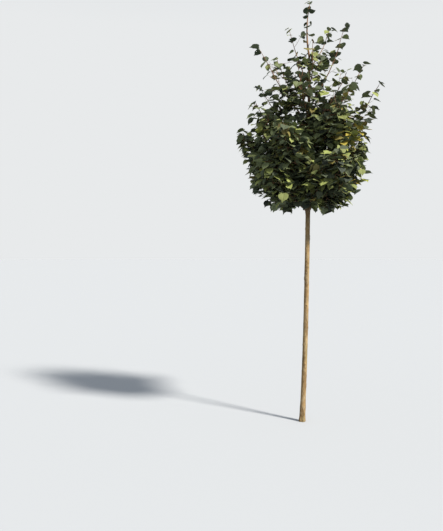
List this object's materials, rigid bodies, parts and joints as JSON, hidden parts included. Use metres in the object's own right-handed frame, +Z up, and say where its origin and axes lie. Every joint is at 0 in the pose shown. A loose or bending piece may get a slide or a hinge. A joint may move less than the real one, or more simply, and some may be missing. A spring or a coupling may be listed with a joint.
{
  "type": "young linden tree",
  "caption": "Young linden tree rooted in the ground: a slender straight stem with a clear lower length, upswept side boughs and an open-topped leafy head.",
  "frame": {"origin": "middle of the flat cut under the stem, at ground level", "axes": "+Z up along the stem, +X to the right and +Y away from someone who looks at the tree as the picture does"},
  "size_m": [1.3281, 1.0698, 4.0325],
  "materials": {
    "bark": "matt grey-brown young bark with fine fissures and lenticels",
    "foliage": "satin green leaves, paler underneath, some yellowing"
  },
  "bodies": {
    "root": {"trunk": "bark", "bough_01": "bark", "bough_02": "bark", "bough_03": "bark", "bough_04": "bark", "bough_05": "bark", "bough_06": "bark", "bough_07": "bark", "bough_08": "bark", "bough_09": "bark", "bough_10": "bark", "bough_11": "bark", "bough_12": "bark", "bough_13": "bark", "bough_14": "bark", "bough_15": "bark", "bough_16": "bark", "bough_17": "bark", "bough_18": "bark", "bough_19": "bark", "bough_20": "bark", "bough_21": "bark", "bough_22": "bark", "bough_23": "bark", "leader_foliage_01": "foliage", "leader_foliage_02": "foliage", "leader_foliage_03": "foliage", "foliage_01": "foliage", "foliage_02": "foliage", "foliage_03": "foliage", "foliage_04": "foliage", "foliage_05": "foliage", "foliage_06": "foliage", "foliage_07": "foliage", "foliage_08": "foliage", "foliage_09": "foliage", "foliage_10": "foliage", "foliage_11": "foliage", "foliage_12": "foliage", "foliage_13": "foliage", "foliage_14": "foliage", "foliage_15": "foliage", "foliage_16": "foliage", "foliage_17": "foliage", "foliage_18": "foliage", "foliage_19": "foliage", "foliage_20": "foliage", "foliage_21": "foliage", "foliage_22": "foliage", "foliage_23": "foliage"}
  },
  "joints": []
}
